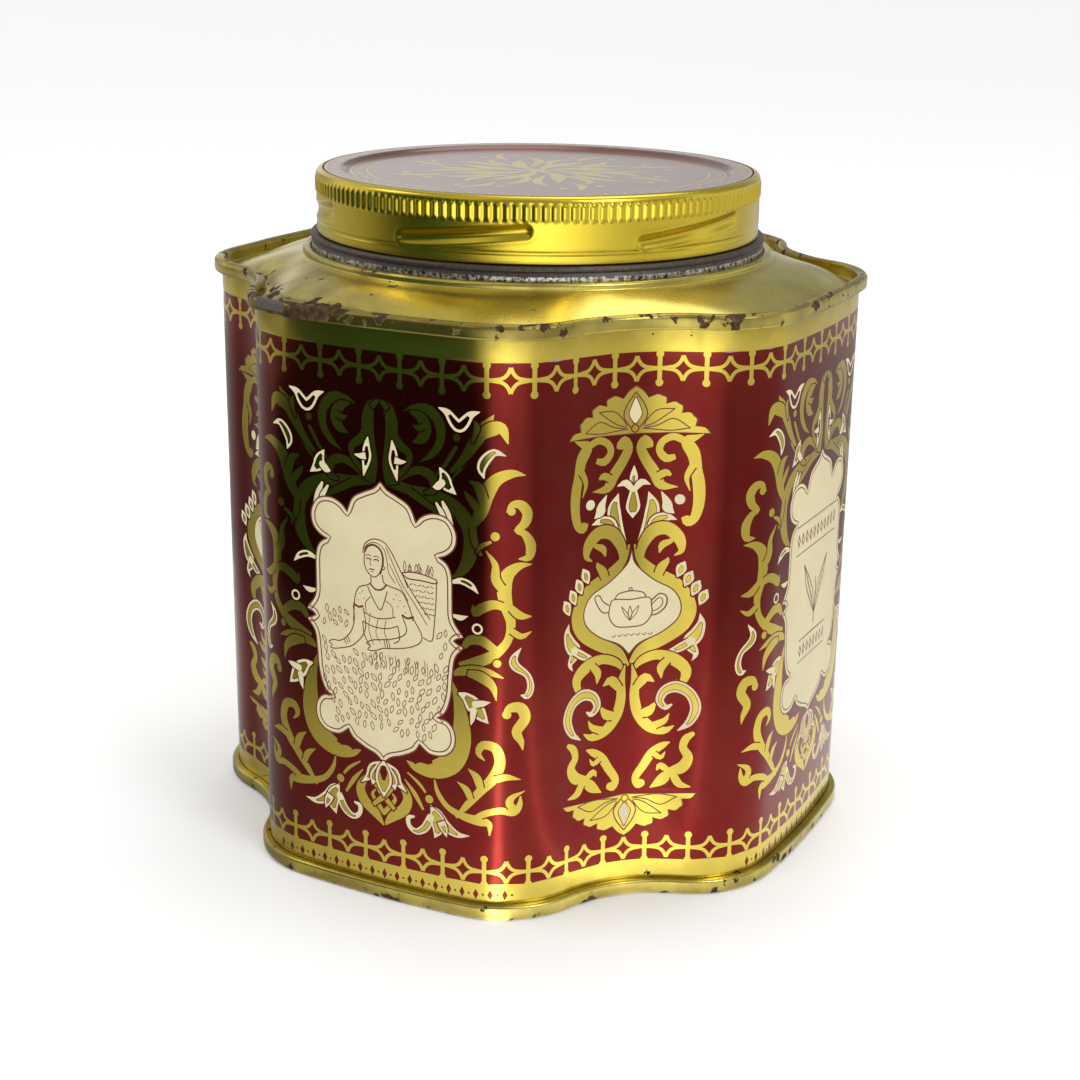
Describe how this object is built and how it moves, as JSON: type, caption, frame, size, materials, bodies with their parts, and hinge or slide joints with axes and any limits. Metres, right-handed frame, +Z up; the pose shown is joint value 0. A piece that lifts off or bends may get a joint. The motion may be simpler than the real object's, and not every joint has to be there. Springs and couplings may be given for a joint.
{
  "type": "screw-lid tin",
  "caption": "Lithographed tea tin with broad panels, scooped corners, double-seamed ends, a bare threaded neck and a knurled screw lid that winds off.",
  "frame": {"origin": "middle of the plane that the tin rests on, on the axis of the neck and lid", "axes": "+Z up along the axis of the neck and lid, -Y out of the front panel, +X out of the right-hand panel"},
  "size_m": [0.129, 0.129, 0.134],
  "materials": {
    "printed_tinplate": "maroon and gold lithographed tinplate, worn gloss",
    "lacquered_tinplate": "tinplate under gold lacquer, worn gloss",
    "bare_tinplate": "bare tinplate dulled grey, speckled bright band",
    "pulpboard": "grey-brown pulpboard",
    "waxed_paper": "waxed cream paper",
    "sealing_compound": "dried grey-brown sealing compound"
  },
  "bodies": {
    "tin": {"body_wrap": "printed_tinplate", "base_plate": "lacquered_tinplate", "shoulder_plate": "lacquered_tinplate", "neck_ring": "bare_tinplate", "top_seam_compound": "sealing_compound", "base_seam_compound": "sealing_compound", "neck_seam_compound": "sealing_compound"},
    "liner": {"liner_board": "pulpboard", "liner_facing": "waxed_paper"},
    "lid": {"screw_lid": "lacquered_tinplate"}
  },
  "joints": [
    {"name": "lid_rise", "type": "slide", "parent": "tin", "child": "liner", "axis": [0, 0, 1], "range_m": [0, 0.03]},
    {"name": "lid_turn", "type": "hinge", "parent": "liner", "child": "lid", "pos_m": [0, 0, 0.1275], "axis": [0, 0, 1], "range_deg": [0, 360]}
  ],
  "couplings": [
    {"joint": "lid_rise", "follows": "lid_turn", "m_per_rad": 0.0046155}
  ]
}
